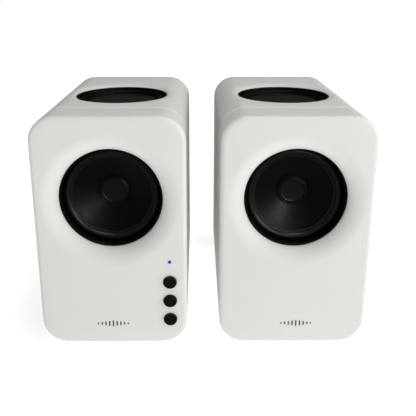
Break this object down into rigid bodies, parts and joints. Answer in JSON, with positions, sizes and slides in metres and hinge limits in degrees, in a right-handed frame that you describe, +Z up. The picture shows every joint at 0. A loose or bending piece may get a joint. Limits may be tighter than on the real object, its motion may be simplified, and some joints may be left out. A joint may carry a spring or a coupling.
{
  "type": "desktop speaker pair",
  "caption": "Pair of rounded box desktop speakers, each with a front driver and a top passive radiator, one with push buttons and a status light.",
  "frame": {"origin": "centre of the pair's footprint, on the surface the feet stand on", "axes": "+X towards the right speaker as seen by the listener, -Y towards the listener (the driver fronts), +Z up"},
  "size_m": [0.2334, 0.1692, 0.1725],
  "materials": {
    "cabinet": "fine matt moulded plastic",
    "trim": "satin black moulded plastic",
    "rubber": "matt black rubber",
    "paper": "dark grey pressed paper pulp",
    "dust_cap": "dark grey satin",
    "button": "satin black",
    "basket": "black paint",
    "steel": "plated steel",
    "ferrite": "dull dark ceramic magnet",
    "coil": "enamelled copper wire",
    "spider": "resin-stiffened cotton",
    "lens": "clear blue status light",
    "board": "green circuit board",
    "cable": "black cable sleeve",
    "foot": "dark grey rubber"
  },
  "bodies": {
    "cabinets": {"left_front_cover": "cabinet", "left_cabinet_shell": "cabinet", "left_rear_cover": "cabinet", "left_front_foot": "foot", "left_rear_foot": "foot", "left_rear_screw_upper_left": "steel", "left_rear_screw_upper_right": "steel", "left_rear_screw_lower_left": "steel", "left_rear_screw_lower_right": "steel", "left_driver_trim_ring": "trim", "left_driver_surround": "rubber", "left_driver_spider": "spider", "left_driver_basket": "basket", "left_magnet_top_plate": "steel", "left_magnet": "ferrite", "left_yoke": "steel", "left_radiator_trim_ring": "trim", "left_radiator_surround": "rubber", "left_radiator_frame": "basket", "left_link_socket": "trim", "left_driver_lead": "cable", "right_front_cover": "cabinet", "right_cabinet_shell": "cabinet", "right_rear_cover": "cabinet", "right_front_foot": "foot", "right_rear_foot": "foot", "right_rear_screw_upper_left": "steel", "right_rear_screw_upper_right": "steel", "right_rear_screw_lower_left": "steel", "right_rear_screw_lower_right": "steel", "right_driver_trim_ring": "trim", "right_driver_surround": "rubber", "right_driver_spider": "spider", "right_driver_basket": "basket", "right_magnet_top_plate": "steel", "right_magnet": "ferrite", "right_yoke": "steel", "right_radiator_trim_ring": "trim", "right_radiator_surround": "rubber", "right_radiator_frame": "basket", "right_link_socket": "trim", "right_driver_lead": "cable", "left_audio_jack": "trim", "left_power_inlet": "trim", "left_led_lens": "lens", "left_button_board": "board", "left_main_board": "board"},
    "left_cone": {"left_driver_cone": "paper", "left_driver_dust_cap": "dust_cap", "left_voice_coil": "coil"},
    "left_radiator": {"left_radiator_diaphragm": "paper", "left_radiator_weight": "steel"},
    "right_cone": {"right_driver_cone": "paper", "right_driver_dust_cap": "dust_cap", "right_voice_coil": "coil"},
    "right_radiator": {"right_radiator_diaphragm": "paper", "right_radiator_weight": "steel"},
    "volume_up_button": {"left_volume_up_button": "button"},
    "power_button": {"left_power_button": "button"},
    "volume_down_button": {"left_volume_down_button": "button"}
  },
  "joints": [
    {"name": "left_cone_slide", "type": "slide", "parent": "cabinets", "child": "left_cone", "axis": [0, 1, 0], "range_m": [-0.0025, 0.0025], "stiffness_N_per_m": 1500, "deforming": ["left_driver_surround", "left_driver_spider"]},
    {"name": "left_radiator_slide", "type": "slide", "parent": "cabinets", "child": "left_radiator", "axis": [0, 0, 1], "range_m": [-0.004, 0.004], "stiffness_N_per_m": 800, "deforming": ["left_radiator_surround"]},
    {"name": "right_cone_slide", "type": "slide", "parent": "cabinets", "child": "right_cone", "axis": [0, 1, 0], "range_m": [-0.0025, 0.0025], "stiffness_N_per_m": 1500, "deforming": ["right_driver_surround", "right_driver_spider"]},
    {"name": "right_radiator_slide", "type": "slide", "parent": "cabinets", "child": "right_radiator", "axis": [0, 0, 1], "range_m": [-0.004, 0.004], "stiffness_N_per_m": 800, "deforming": ["right_radiator_surround"]},
    {"name": "volume_up_button_press", "type": "slide", "parent": "cabinets", "child": "volume_up_button", "axis": [0, 1, 0], "range_m": [0, 0.0005], "stiffness_N_per_m": 1000},
    {"name": "power_button_press", "type": "slide", "parent": "cabinets", "child": "power_button", "axis": [0, 1, 0], "range_m": [0, 0.0005], "stiffness_N_per_m": 1000},
    {"name": "volume_down_button_press", "type": "slide", "parent": "cabinets", "child": "volume_down_button", "axis": [0, 1, 0], "range_m": [0, 0.0005], "stiffness_N_per_m": 1000}
  ]
}
